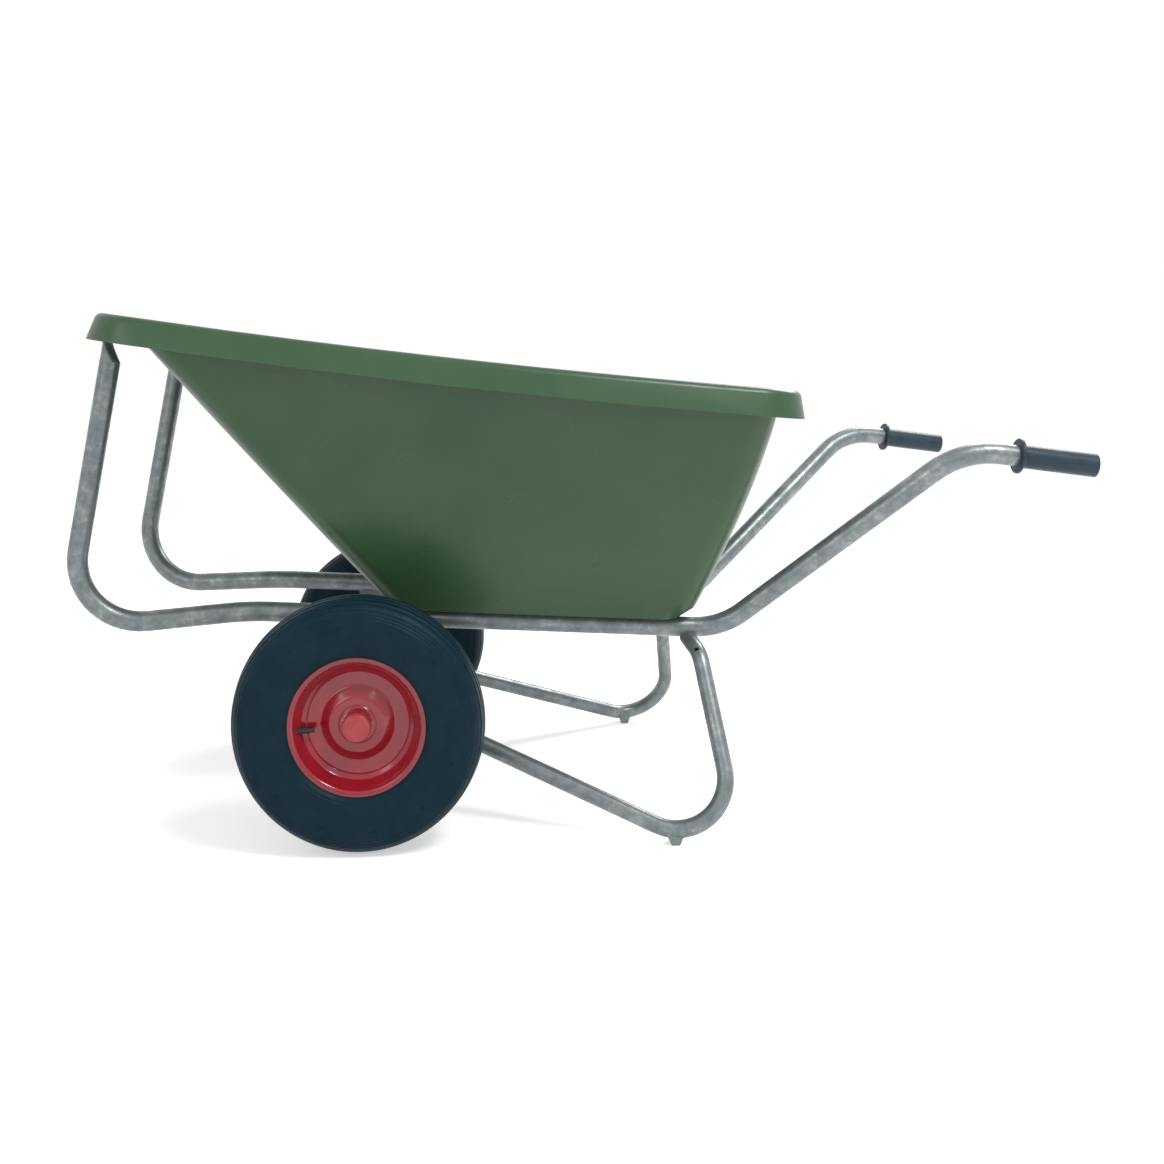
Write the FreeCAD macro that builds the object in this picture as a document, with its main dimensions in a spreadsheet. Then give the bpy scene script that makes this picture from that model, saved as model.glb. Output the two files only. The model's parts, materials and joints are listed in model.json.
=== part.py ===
"""Two-wheeled garden wheelbarrow: moulded tub, bent steel tube frame, pneumatic wheels.

Millimetres. +X points towards the handles, +Y to the right of the person pushing, +Z up.
The origin is on the floor, under the middle of the whole object.
"""
import FreeCAD, Part
import math
import os
import Sketcher
from FreeCAD import Placement, Rotation, Vector

X_AXIS = Vector(1, 0, 0)
Y_AXIS = Vector(0, 1, 0)
Z_AXIS = Vector(0, 0, 1)
SIDES = {"left": -1, "right": 1}

# alias, value, meaning
SIZES = [
    ("tube_diameter", 33.7, "side rail tube, outside"),
    ("tube_wall", 2.6, "side rail tube, wall"),
    ("leg_diameter", 26.9, "leg tube, outside"),
    ("leg_wall", 2.3, "leg tube, wall"),
    ("upright_top_x", -748.8, "side rail: end of the round tube under the tub's front lip"),
    ("upright_top_y", 227.5, ""),
    ("upright_top_z", 779, ""),
    ("nose_x", -836.7, "side rail: corner at the front"),
    ("nose_y", 222, ""),
    ("nose_z", 336.5, ""),
    ("nose_bend", 105, "bend radius there"),
    ("kink_x", -542.3, "side rail: where it turns level under the tub"),
    ("rail_y", 165, "half of the distance between the rails' centres"),
    ("kink_z", 349, ""),
    ("kink_bend", 350, ""),
    ("heel_x", 261.7, "side rail: where it rises to the handle"),
    ("heel_y", 163, ""),
    ("heel_z", 298.5, ""),
    ("heel_bend", 110, ""),
    ("shoulder_x", 624.7, "side rail: where the handle levels out"),
    ("shoulder_y", 317, ""),
    ("shoulder_z", 603, ""),
    ("shoulder_bend", 125, ""),
    ("grip_end_x", 826.3, "outer end of the hand grip"),
    ("grip_end_y", 327.5, ""),
    ("grip_end_z", 572.4, ""),
    ("tab_thickness", 7, "flattened end of the side rail"),
    ("tab_width", 47, ""),
    ("tab_margin", 1, "flattened end beyond its washer"),
    ("leg_top_x", 203.7, "leg: where it meets the rail"),
    ("leg_top_drop", 16, "below the rail's centre"),
    ("leg_top_y", 168, ""),
    ("leg_neck_x", 215.7, "leg: bend under the rail"),
    ("leg_neck_y", 220, ""),
    ("leg_neck_z", 268, ""),
    ("leg_neck_bend", 45, ""),
    ("foot_bend_x", 248.7, "leg: corner above the foot"),
    ("foot_bend_y", 382, ""),
    ("foot_bend_z", -21, ""),
    ("foot_bend", 80, ""),
    ("leg_end_y", 148, "leg: flattened end on the axle"),
    ("leg_end_thickness", 8, ""),
    ("leg_end_height", 38, ""),
    ("leg_end_press", 60, "length over which the round tube turns flat"),
    ("vent_diameter", 8, "vent hole at the top of the leg"),
    ("vent_share", 0.6, "its place, as a share of the way from the leg's top to its neck"),
    ("foot_length_low", 13, "foot cleat: length at the floor"),
    ("foot_length_high", 30, ""),
    ("foot_width", 22, ""),
    ("foot_height", 20, ""),
    ("axle_x", -342.7, "axle centre"),
    ("tyre_radius", 200, "tyre, outside; the axle is this high"),
    ("wheel_y", 326, "middle plane of each wheel"),
    ("axle_diameter", 20, ""),
    ("axle_overhang", 33, "axle end beyond the wheel's middle plane"),
    ("running_gap", 0.05, "radial clearance of the bushes on the axle"),
    ("end_gap", 0.3, "endways clearance of each wheel"),
    ("hanger_y", 161, "axle hanger plate, middle"),
    ("hanger_thickness", 6, ""),
    ("hanger_top_length", 90, ""),
    ("hanger_low_radius", 24, ""),
    ("spacer_diameter", 27, "spacer tube between hanger and wheel"),
    ("shoulder_drop", 14, "tyre: edge of the tread below its crown"),
    ("shoulder_half_width", 42, ""),
    ("sidewall_radius", 62, "sidewall bulge, in section"),
    ("sidewall_thickness", 6.5, ""),
    ("tread_thickness", 12, ""),
    ("groove_width", 5, "tread grooves"),
    ("groove_depth", 5, ""),
    ("groove_pitch", 15, ""),
    ("tube_section_radius", 40, "inner tube, inflated"),
    ("inner_tube_wall", 2, ""),
    ("seat_radius", 101.6, "rim: bead seat of an eight inch rim"),
    ("seat_half_width", 33, "rim: inside face of the flange"),
    ("seat_depth", 10, "rim: width of the bead seat"),
    ("flange_radius", 110, ""),
    ("well_radius", 91, "rim: drop centre"),
    ("well_half_width", 9, ""),
    ("sheet", 2, "rim: sheet thickness"),
    ("disc_step_radius", 80, "wheel disc: flat ring, outside"),
    ("disc_cone_radius", 58, "wheel disc: flat ring, inside"),
    ("disc_cone_rise", 12, "wheel disc: how far the cone stands out at its crown"),
    ("disc_crown_radius", 42, "wheel disc: flat crown of the cone, outside"),
    ("fit_gap", 0.1, "clearance between pieces that are pressed or welded together"),
    ("hub_diameter", 48, ""),
    ("hub_bore", 40, ""),
    ("hub_outer_end", 30, "hub end beyond the wheel's middle plane"),
    ("hub_inner_end", 45, ""),
    ("bush_length", 18, ""),
    ("bush_recess", 6, "outer bush below the hub's end"),
    ("cap_diameter", 44, ""),
    ("cap_height", 13, "cap beyond the hub's end"),
    ("cap_skirt", 5, ""),
    ("cap_wall", 2, ""),
    ("cap_round", 3.5, ""),
    ("valve_y", 17, "valve beyond the wheel's middle plane"),
    ("valve_angle", 5, "valve below the level of the axle, degrees"),
    ("valve_diameter", 10, ""),
    ("valve_tip_radius", 78, "distance of the stem's end from the axle"),
    ("valve_cap_length", 10, ""),
    ("valve_cap_diameter", 9, ""),
    ("lip_front_x", -761.8, "tub: lower edge of the rim's lip"),
    ("lip_front_z", 814.5, ""),
    ("lip_rear_x", 377.7, ""),
    ("lip_rear_z", 656.7, ""),
    ("lip_half_width", 385, ""),
    ("lip_height", 44, ""),
    ("rim_sag", 10.5, "tub: the rim's middle below a straight line between its ends"),
    ("lip_flare", 12, "lip: how far its lower edge stands out"),
    ("lip_corner", 90, "lip: corner radius in plan"),
    ("lip_round", 12, "lip: round of the top edge"),
    ("lip_wall", 4.5, ""),
    ("mouth_front_x", -710.3, "tub: outside of the walls where they meet the rim"),
    ("mouth_rear_x", 344.7, ""),
    ("mouth_half_width", 353, ""),
    ("mouth_corner", 50, ""),
    ("middle_front_x", -511.3, "tub: outside of the walls half way up"),
    ("middle_front_z", 607, ""),
    ("middle_rear_x", 300.7, ""),
    ("middle_rear_z", 534, ""),
    ("middle_half_width", 284, ""),
    ("middle_corner", 50, ""),
    ("knee_front_x", -317.3, "tub: crease above the base"),
    ("knee_rear_x", 215.7, ""),
    ("knee_height", 19, ""),
    ("knee_half_width", 210, ""),
    ("knee_corner", 46, ""),
    ("base_front_x", -299.3, "tub: flat base on the rails"),
    ("base_rear_x", 189.7, ""),
    ("base_half_width", 200, ""),
    ("base_corner", 42, ""),
    ("tub_wall", 5, ""),
    ("seat_gap", 0.2, "tub base above the rails"),
    ("bar_width", 40, "cross bars under the tub"),
    ("bar_thickness", 5, ""),
    ("front_bar_x", -226.3, ""),
    ("rear_bar_x", 93.7, ""),
    ("tub_bolt_y", 90, "bolts through the tub's base"),
    ("bolt_diameter", 8, ""),
    ("bolt_hole_gap", 0.4, "radial clearance of the bolt holes"),
    ("bolt_head_diameter", 20, ""),
    ("bolt_head_height", 3.5, ""),
    ("washer_diameter", 18, ""),
    ("washer_thickness", 1.6, ""),
    ("nut_across_corners", 15, ""),
    ("nut_height", 6.5, ""),
    ("bolt_spare", 3, "bolt beyond its nut"),
    ("lip_bolt_height", 15, "bolt above the lip's lower edge"),
    ("pin_diameter", 3.2, "split pin"),
    ("pin_length", 32, ""),
    ("axle_washer_diameter", 34, ""),
    ("axle_washer_thickness", 2.5, ""),
    ("grip_length", 116, "hand grip from collar to end"),
    ("grip_wall", 1.5, ""),
    ("grip_end_wall", 4, ""),
    ("collar_diameter", 56, ""),
    ("collar_thickness", 6, ""),
]

doc = FreeCAD.newDocument("Wheelbarrow")
sheet = doc.addObject("Spreadsheet::Sheet", "Sizes")
for row, (alias, value, meaning) in enumerate(SIZES, start=1):
    sheet.set("A%d" % row, meaning)
    sheet.set("B%d" % row, str(value))
    sheet.setAlias("B%d" % row, alias)
doc.recompute()

nodes = []


# ---------------------------------------------------------------- sizes with formulas

class Size:
    """A length that carries its number and the spreadsheet formula behind it."""

    def __init__(self, value, formula):
        self.value = value
        self.formula = formula

    def combine(self, other, sign, result):
        return Size(result, "(%s %s %s)" % (self.formula, sign, as_size(other).formula))

    def __add__(self, other):
        return self.combine(other, "+", self.value + as_size(other).value)

    def __sub__(self, other):
        return self.combine(other, "-", self.value - as_size(other).value)

    def __mul__(self, other):
        return self.combine(other, "*", self.value * as_size(other).value)

    def __truediv__(self, other):
        return self.combine(other, "/", self.value / as_size(other).value)

    def __neg__(self):
        return Size(-self.value, "(-%s)" % self.formula)

    def root(self):
        return Size(math.sqrt(self.value), "sqrt(%s)" % self.formula)


def as_size(thing):
    """A plain number as a Size; a Size as it is."""
    if isinstance(thing, Size):
        return thing
    return Size(float(thing), "(%s)" % thing)


def size(alias):
    """The named size, bound to its cell."""
    return Size(float(sheet.get(alias)), "Sizes." + alias)


def number(alias):
    """The named size as a plain number."""
    return float(sheet.get(alias))


def bind(thing, **properties):
    """Drive properties of a document object from sizes."""
    for name, length in properties.items():
        length = as_size(length)
        setattr(thing, name, length.value)
        thing.setExpression(name, length.formula)


def spot(x, y, z, rotation=Rotation()):
    return Placement(Vector(x, y, z), rotation)


# ---------------------------------------------------------------- document objects

def register(thing, label):
    """Name a finished sub-part, so that it is checked and written."""
    thing.Label = label
    nodes.append(thing)
    return thing


def solid_feature(label, shape):
    """A sub-part with a shape that its own code has built."""
    feature = doc.addObject("Part::Feature", label)
    feature.Shape = shape
    feature.Placement = Placement()
    return register(feature, label)


def cylinder(name, radius, height, placement):
    thing = doc.addObject("Part::Cylinder", name)
    bind(thing, Radius=radius, Height=height)
    thing.Placement = placement
    return thing


def cut(name, base, tool):
    thing = doc.addObject("Part::Cut", name)
    thing.Base = base
    thing.Tool = tool
    return thing


def fuse(name, base, tool):
    thing = doc.addObject("Part::Fuse", name)
    thing.Base = base
    thing.Tool = tool
    return thing


def group(name, members):
    thing = doc.addObject("Part::Compound", name)
    thing.Links = members
    return thing


def fix_point(sketch, geometry, point, x, y):
    """Hold one end of a sketch edge at bound coordinates."""
    for kind, axis, length in (("DistanceX", -2, x), ("DistanceY", -1, y)):
        if length.value == 0:
            sketch.addConstraint(Sketcher.Constraint("PointOnObject", geometry, point, axis))
        else:
            index = sketch.addConstraint(Sketcher.Constraint(kind, geometry, point, length.value))
            sketch.setExpression("Constraints[%d]" % index, length.formula)


def arc_between(start, end, radius, side):
    """The arc of this radius from start to end that bulges left (side 1) or right (-1),
    and which of its ends come first and last on the way."""
    chord = end - start
    half = chord.Length / 2
    across = Vector(-chord.y, chord.x, 0).normalize() * side
    centre = start + chord / 2 - across * math.sqrt(radius * radius - half * half)
    first, last = (end, start) if side > 0 else (start, end)
    angle = math.atan2(first.y - centre.y, first.x - centre.x)
    sweep = (math.atan2(last.y - centre.y, last.x - centre.x) - angle) % (2 * math.pi)
    arc = Part.ArcOfCircle(Part.Circle(centre, Z_AXIS, radius), angle, angle + sweep)
    return arc, ((2, 1) if side > 0 else (1, 2))


def outline_sketch(body, role, corners):
    """A closed sketch through bound corners (x, y). A corner with (x, y, radius, side)
    starts an arc of that radius, which bulges to that side of its direction."""
    sketch = body.newObject("Sketcher::SketchObject", body.Name + "Outline")
    plane = next(part for part in body.Origin.OriginFeatures if part.Role == role)
    sketch.AttachmentSupport = [(plane, "")]
    sketch.MapMode = "FlatFace"
    corners = [[as_size(entry) for entry in corner] for corner in corners]
    points = [Vector(corner[0].value, corner[1].value, 0) for corner in corners]
    ends = []
    for corner, start, end in zip(corners, points, points[1:] + points[:1]):
        if len(corner) == 4:
            arc, order = arc_between(start, end, corner[2].value, corner[3].value)
            sketch.addGeometry(arc, False)
            ends.append(order)
        else:
            sketch.addGeometry(Part.LineSegment(start, end), False)
            ends.append((1, 2))
    for index, corner in enumerate(corners):
        following = (index + 1) % len(corners)
        sketch.addConstraint(
            Sketcher.Constraint("Coincident", index, ends[index][1], following, ends[following][0]))
    for index, corner in enumerate(corners):
        fix_point(sketch, index, ends[index][0], corner[0], corner[1])
        if len(corner) == 4:
            constraint = sketch.addConstraint(Sketcher.Constraint("Radius", index, corner[2].value))
            sketch.setExpression("Constraints[%d]" % constraint, corner[2].formula)
    return sketch


def turned_body(name, corners, placement, rounds=None):
    """A body revolved about its own Y axis from (radius, along) corners."""
    body = doc.addObject("PartDesign::Body", name)
    sketch = outline_sketch(body, "XY_Plane", corners)
    turn = body.newObject("PartDesign::Revolution", name + "Turn")
    turn.Profile = sketch
    turn.ReferenceAxis = (sketch, ["V_Axis"])
    turn.Angle = 360
    body.Placement = placement
    doc.recompute()
    if rounds:
        round_edges(body, turn, *rounds)
    return body


def round_edges(body, feature, radius, wanted):
    """Round the edges of a turned body whose (radius, along) is listed."""
    names = []
    for index, edge in enumerate(feature.Shape.Edges, start=1):
        curve = edge.Curve
        if not isinstance(curve, Part.Circle):
            continue
        for ring, along in wanted:
            near = abs(curve.Radius - ring.value) < 0.01 and abs(curve.Center.y - along.value) < 0.01
            if near:
                names.append("Edge%d" % index)
    rounding = body.newObject("PartDesign::Fillet", body.Name + "Round")
    rounding.Base = (feature, names)
    bind(rounding, Radius=radius)
    doc.recompute()


# ---------------------------------------------------------------- bent tubes

def route_pieces(points, radii):
    """Straight runs and bends of a route, as (start, end) and (start, centre, axis, angle)."""
    pieces = []
    start = points[0]
    for corner, before, after, radius in zip(points[1:-1], points, points[2:], radii):
        back = (before - corner).normalize()
        ahead = (after - corner).normalize()
        turn = math.pi - back.getAngle(ahead)
        reach = radius * math.tan(turn / 2)
        enter = corner + back * reach
        centre = corner + (back + ahead).normalize() * (radius / math.cos(turn / 2))
        axis = ahead.cross(back).normalize()
        pieces.append(("run", start, enter))
        pieces.append(("bend", enter, centre, axis, math.degrees(turn)))
        start = corner + ahead * reach
    pieces.append(("run", start, points[-1]))
    return pieces


def disc_face(centre, direction, outer, inner):
    """A round or ring-shaped face across a tube."""
    face = Part.Face(Part.Wire(Part.makeCircle(outer, centre, direction)))
    if inner:
        face = face.cut(Part.Face(Part.Wire(Part.makeCircle(inner, centre, direction)))).Faces[0]
    return face


def tube_along(points, radii, outer, inner):
    """A tube along a route; inner 0 makes it solid."""
    pieces = route_pieces(points, radii)
    direction = points[1] - points[0]
    solids = []
    for piece in pieces:
        if piece[0] == "run":
            direction = piece[2] - piece[1]
            solids.append(disc_face(piece[1], direction, outer, inner).extrude(direction))
        else:
            enter, centre, axis, angle = piece[1:]
            solids.append(disc_face(enter, direction, outer, inner).revolve(centre, axis, angle))
    return solids[0].multiFuse(solids[1:]).removeSplitter()


def largest_solid(shape):
    return max(shape.Solids, key=lambda solid: solid.Volume)


def named_point(name, side):
    """The point that three sizes place, on one side of the object."""
    return Vector(number(name + "_x"), side * number(name + "_y"), number(name + "_z"))


# ---------------------------------------------------------------- places that pieces share

def rail_route(side):
    """Corner points of a side rail's centre line, from the front lip to the grip's end."""
    heel = named_point("heel", side)
    kink = Vector(number("kink_x"), side * number("rail_y"), number("kink_z"))
    shoulder = named_point("shoulder", side)
    grip_end = named_point("grip_end", side)
    along = (grip_end - shoulder).normalize()
    tube_end = grip_end - along * number("grip_end_wall")
    return [named_point("upright_top", side), named_point("nose", side), kink, heel, shoulder, tube_end]


def rail_bends():
    return [number("nose_bend"), number("kink_bend"), number("heel_bend"), number("shoulder_bend")]


def rail_slope():
    """Fall of the rails under the tub, per millimetre."""
    return (number("heel_z") - number("kink_z")) / (number("heel_x") - number("kink_x"))


def rail_height(x):
    """Height of the rails' centre line under the tub."""
    return number("kink_z") + rail_slope() * (x - number("kink_x"))


def base_rotation():
    """Turns +Z onto the normal of the tub's sloping base."""
    return Rotation(Y_AXIS, -math.degrees(math.atan(rail_slope())))


def base_normal():
    return base_rotation().multVec(Z_AXIS)


def base_point(x, y, above):
    """A point this far above the underside of the tub's base."""
    clear = number("tube_diameter") / 2 + number("seat_gap")
    on_line = Vector(x, y, rail_height(x))
    return on_line + base_normal() * (clear + above)


def lip_frame():
    """Centre of the lip's lower edge, and its directions along and up."""
    front = Vector(number("lip_front_x"), 0, number("lip_front_z"))
    rear = Vector(number("lip_rear_x"), 0, number("lip_rear_z"))
    along = (rear - front).normalize()
    up = along.cross(Y_AXIS)
    return (front + rear) / 2, along, up, (rear - front).Length / 2


def lip_face(side):
    """Lip's front face at a bolt: lower edge, direction up the face, outward direction."""
    centre, along, up, half = lip_frame()
    edge = centre - along * half
    edge.y = side * number("upright_top_y")
    climb = (up * number("lip_height") + along * number("lip_flare")).normalize()
    return edge, climb, climb.cross(Y_AXIS)


def rim_point(x, height):
    """A point in the middle of the rim's length direction, this far above the lip's lower edge."""
    centre, along, up, half = lip_frame()
    start = centre + up * height
    return start + along * ((x - start.x) / along.x)


def axle_point(y):
    return Vector(number("axle_x"), y, number("tyre_radius"))


# ---------------------------------------------------------------- tub

def rounded_wire(front, rear, half_width, corner):
    """A rectangle with round corners between two points in the XZ plane."""
    along = (rear - front).normalize()
    diagonal = corner * (1 - math.sqrt(0.5))
    p = [
        front + along * corner - Y_AXIS * half_width,
        rear - along * corner - Y_AXIS * half_width,
        rear - along * diagonal - Y_AXIS * (half_width - diagonal),
        rear - Y_AXIS * (half_width - corner),
        rear + Y_AXIS * (half_width - corner),
        rear - along * diagonal + Y_AXIS * (half_width - diagonal),
        rear - along * corner + Y_AXIS * half_width,
        front + along * corner + Y_AXIS * half_width,
        front + along * diagonal + Y_AXIS * (half_width - diagonal),
        front + Y_AXIS * (half_width - corner),
        front - Y_AXIS * (half_width - corner),
        front + along * diagonal - Y_AXIS * (half_width - diagonal),
    ]
    curves = [
        Part.LineSegment(p[0], p[1]),
        Part.Arc(p[1], p[2], p[3]),
        Part.LineSegment(p[3], p[4]),
        Part.Arc(p[4], p[5], p[6]),
        Part.LineSegment(p[6], p[7]),
        Part.Arc(p[7], p[8], p[9]),
        Part.LineSegment(p[9], p[10]),
        Part.Arc(p[10], p[11], p[0]),
    ]
    return Part.Wire([curve.toShape() for curve in curves])


def tub_level(name, inset, lift):
    """One level of the tub's wall, moved in and up."""
    if name in ("base", "knee"):
        above = (number("knee_height") if name == "knee" else 0) + lift
        front = base_point(number(name + "_front_x"), 0, above)
        rear = base_point(number(name + "_rear_x"), 0, above)
    elif name == "mouth":
        height = number("lip_height") + lift
        front = rim_point(number("mouth_front_x"), height)
        rear = rim_point(number("mouth_rear_x"), height)
    else:
        front = Vector(number("middle_front_x"), 0, number("middle_front_z") + lift)
        rear = Vector(number("middle_rear_x"), 0, number("middle_rear_z") + lift)
    along = (rear - front).normalize()
    front = front + along * inset
    rear = rear - along * inset
    corner = number(name + "_corner") - inset
    return rounded_wire(front, rear, number(name + "_half_width") - inset, corner)


def tub_bowl(inset, lift):
    """The bowl's volume: a short base up to the crease, then the smooth walls."""
    base = tub_level("base", inset, lift)
    knee = tub_level("knee", inset, lift)
    middle = tub_level("middle", inset, lift)
    mouth = tub_level("mouth", inset, lift)
    foot = Part.makeLoft([base, knee], True, True)
    walls = Part.makeLoft([knee, middle, mouth], True, False)
    return largest_solid(foot.fuse(walls))


def rim_region(low, high):
    """Everything between two heights above the lip's lower edge, sagging with the rim."""
    centre, along, up, half = lip_frame()
    reach = half * 1.1
    sag = number("rim_sag")
    lift = sag * (reach * reach / (half * half) - 1)
    outline = []
    for height, way in ((low, 1), (high, -1)):
        start = centre + up * (height + lift) - along * (reach * way)
        end = centre + up * (height + lift) + along * (reach * way)
        outline.append((start, centre + up * (height - sag), end))
    edges = []
    for (start, middle, end), (following, _, _) in zip(outline, outline[::-1]):
        edges.append(Part.Arc(start, middle, end).toShape())
        edges.append(Part.makeLine(end, following))
    face = Part.Face(Part.Wire(edges))
    width = number("lip_half_width") * 1.1
    face.translate(Y_AXIS * -width)
    return face.extrude(Y_AXIS * (2 * width))


def lip_block(inset, low, high):
    """The rim's flaring volume between two heights above the lip's lower edge."""
    centre, along, up, half = lip_frame()
    wires = []
    for height in (low, high):
        change = inset + number("lip_flare") * height / number("lip_height")
        middle = centre + up * height
        reach = half - change
        wires.append(rounded_wire(middle - along * reach, middle + along * reach,
                                  number("lip_half_width") - change, number("lip_corner") - change))
    return Part.makeLoft(wires, True, True)


def hollow_rim():
    """The rim's skirt and top sheet, open below, with its top edge rounded."""
    thin = number("lip_wall")
    top = number("lip_height")
    sag = number("rim_sag")
    centre, along, up, half = lip_frame()
    block = largest_solid(lip_block(0, -2 * sag, top + sag).common(rim_region(0, top)))
    inside = lip_block(thin, -2 * sag - top, top + sag).common(rim_region(-4 * top, top - thin))
    shell = largest_solid(block.cut(largest_solid(inside)))
    upper = max(shell.Faces, key=lambda face: (face.CenterOfMass - centre).dot(up))
    return largest_solid(shell.makeFillet(number("lip_round"), upper.Edges))


def make_tub():
    wall = number("tub_wall")
    top = number("lip_height")
    far_below = -20 * top
    bowl = largest_solid(tub_bowl(0, 0).common(rim_region(far_below, top)))
    tub = largest_solid(hollow_rim().fuse(bowl)).cut(tub_bowl(wall, wall))
    hole = number("bolt_diameter") / 2 + number("bolt_hole_gap")
    for x, y in tub_bolt_places():
        low = base_point(x, y, -wall)
        tub = tub.cut(Part.makeCylinder(hole, wall * 3, low, base_normal()))
    for side in SIDES.values():
        edge, climb, outward = lip_face(side)
        start = edge + climb * number("lip_bolt_height") + outward * wall
        tub = tub.cut(Part.makeCylinder(hole, wall * 3, start, outward * -1))
    solid_feature("tub", largest_solid(tub))


# ---------------------------------------------------------------- frame

def flattened_end(centre, direction, radius, far_centre, far_direction, wide, width, thickness, length):
    """A round tube end pressed to a flat tab: the change of section, then the tab."""
    circle = Part.Circle(centre, direction, radius)
    across = far_direction.cross(wide).normalize()
    flat = Part.Ellipse(far_centre + wide * (width / 2), far_centre + across * (thickness / 2), far_centre)
    round_wire = Part.Wire(oriented_circle(circle, wide, direction).toShape())
    flat_wire = Part.Wire(flat.toShape())
    change = Part.makeLoft([round_wire, flat_wire], True, True)
    tab = Part.Face(flat_wire).extrude(far_direction * length)
    return change.fuse(tab)


def oriented_circle(circle, start, direction):
    """The circle, beginning in the start direction as the flat end does."""
    across = direction.cross(start).normalize()
    start = across.cross(direction).normalize()
    radius = circle.Radius
    centre = circle.Center
    nearly = radius * (1 + 1e-9)
    return Part.Ellipse(centre + start * nearly, centre + across * radius, centre)


def rail_envelope(side):
    """The side rail as a solid bar, for pieces that are shaped to meet it."""
    return tube_along(rail_route(side), rail_bends(), number("tube_diameter") / 2, 0)


def make_side_rail(name, side):
    outer = number("tube_diameter") / 2
    inner = outer - number("tube_wall")
    route = rail_route(side)
    tube = tube_along(route, rail_bends(), outer, inner)
    top = route[0]
    direction = (route[0] - route[1]).normalize()
    edge, climb, outward = lip_face(side)
    thickness = number("tab_thickness")
    behind = number("lip_wall") + number("seat_gap") + thickness / 2
    reach = number("washer_diameter") / 2 + number("tab_margin")
    tab_start = edge + climb * (number("lip_bolt_height") - reach) - outward * behind
    end = flattened_end(top, direction, outer, tab_start, climb, Y_AXIS,
                        number("tab_width"), thickness, 2 * reach)
    hole = number("bolt_diameter") / 2 + number("bolt_hole_gap")
    through = edge + climb * number("lip_bolt_height") + outward * outer
    end = end.cut(Part.makeCylinder(hole, outer * 4, through, outward * -1))
    solid_feature("side_rail_" + name, largest_solid(tube.fuse(end).removeSplitter()))


def leg_route(side):
    """Corner points of a leg's centre line, from the rail down and forward to its flat end."""
    x = number("leg_top_x")
    top = Vector(x, side * number("leg_top_y"), rail_height(x) - number("leg_top_drop"))
    neck = named_point("leg_neck", side)
    foot = named_point("foot_bend", side)
    axle = axle_point(side * number("leg_end_y"))
    level = Vector(axle.x - foot.x, 0, axle.z - foot.z).normalize()
    return [top, neck, foot, axle - level * (number("leg_end_height") / 2)]


def make_leg(name, side, envelope):
    outer = number("leg_diameter") / 2
    inner = outer - number("leg_wall")
    route = leg_route(side)
    bends = [number("leg_neck_bend"), number("foot_bend")]
    along = (route[3] - route[2]).normalize()
    flat_start = route[3]
    round_end = flat_start - along * number("leg_end_press")
    tube = tube_along(route[:3] + [round_end], bends, outer, inner)
    level = Vector(along.x, 0, along.z).normalize()
    wide = Y_AXIS.cross(level).normalize()
    end = flattened_end(round_end, along, outer, flat_start, level, wide,
                        number("leg_end_height"), number("leg_end_thickness"), number("leg_end_height"))
    leg = tube.fuse(end)
    bore = number("axle_diameter") / 2 + number("fit_gap")
    leg = leg.cut(Part.makeCylinder(bore, outer * 4, axle_point(side * number("leg_end_y")) - Y_AXIS * outer * 2,
                                    Y_AXIS))
    leg = leg.cut(envelope)
    middle = route[0] + (route[1] - route[0]) * number("vent_share")
    vent = number("vent_diameter") / 2
    leg = leg.cut(Part.makeCylinder(vent, outer * 2, middle, Y_AXIS * side))
    solid_feature("leg_" + name, largest_solid(leg))


def leg_low_point(side):
    """Lowest point of a leg's centre line, in its lower bend."""
    bends = [number("leg_neck_bend"), number("foot_bend")]
    enter, centre, axis, angle = route_pieces(leg_route(side), bends)[3][1:]
    spoke = enter - centre
    steps = [Rotation(axis, angle * step / 90).multVec(spoke) for step in range(91)]
    return centre + min(steps, key=lambda point: point.z)


def make_foot(name, side):
    """Small cleat welded under the leg's lower bend, down to the floor."""
    low = number("foot_length_low") / 2
    high = number("foot_length_high") / 2
    height = number("foot_height")
    base = leg_low_point(side)
    base.z = 0
    corners = [Vector(-low, 0, 0), Vector(low, 0, 0), Vector(high, 0, height), Vector(-high, 0, height)]
    start = base - Y_AXIS * (number("foot_width") / 2)
    outline = Part.makePolygon([start + corner for corner in corners + corners[:1]])
    block = Part.Face(outline).extrude(Y_AXIS * number("foot_width"))
    bends = [number("leg_neck_bend"), number("foot_bend")]
    leg = tube_along(leg_route(side), bends, number("leg_diameter") / 2, 0)
    solid_feature("foot_" + name, lowest_solid(block.cut(leg)))


def make_cross_bar(name, x, envelopes):
    """A flat bar under the tub, shaped to the rails at its ends."""
    length = number("bar_width")
    thickness = number("bar_thickness")
    reach = number("rail_y")
    bar = Part.makeBox(length, 2 * reach, thickness, Vector(-length / 2, -reach, 0))
    bar.Placement = Placement(base_point(x, 0, -thickness), base_rotation())
    for envelope in envelopes.values():
        bar = bar.cut(envelope)
    hole = number("bolt_diameter") / 2 + number("bolt_hole_gap")
    for bolt_x, y in tub_bolt_places():
        if bolt_x == x:
            low = base_point(x, y, -2 * thickness)
            bar = bar.cut(Part.makeCylinder(hole, thickness * 3, low, base_normal()))
    solid_feature(name, largest_solid(bar))


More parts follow.
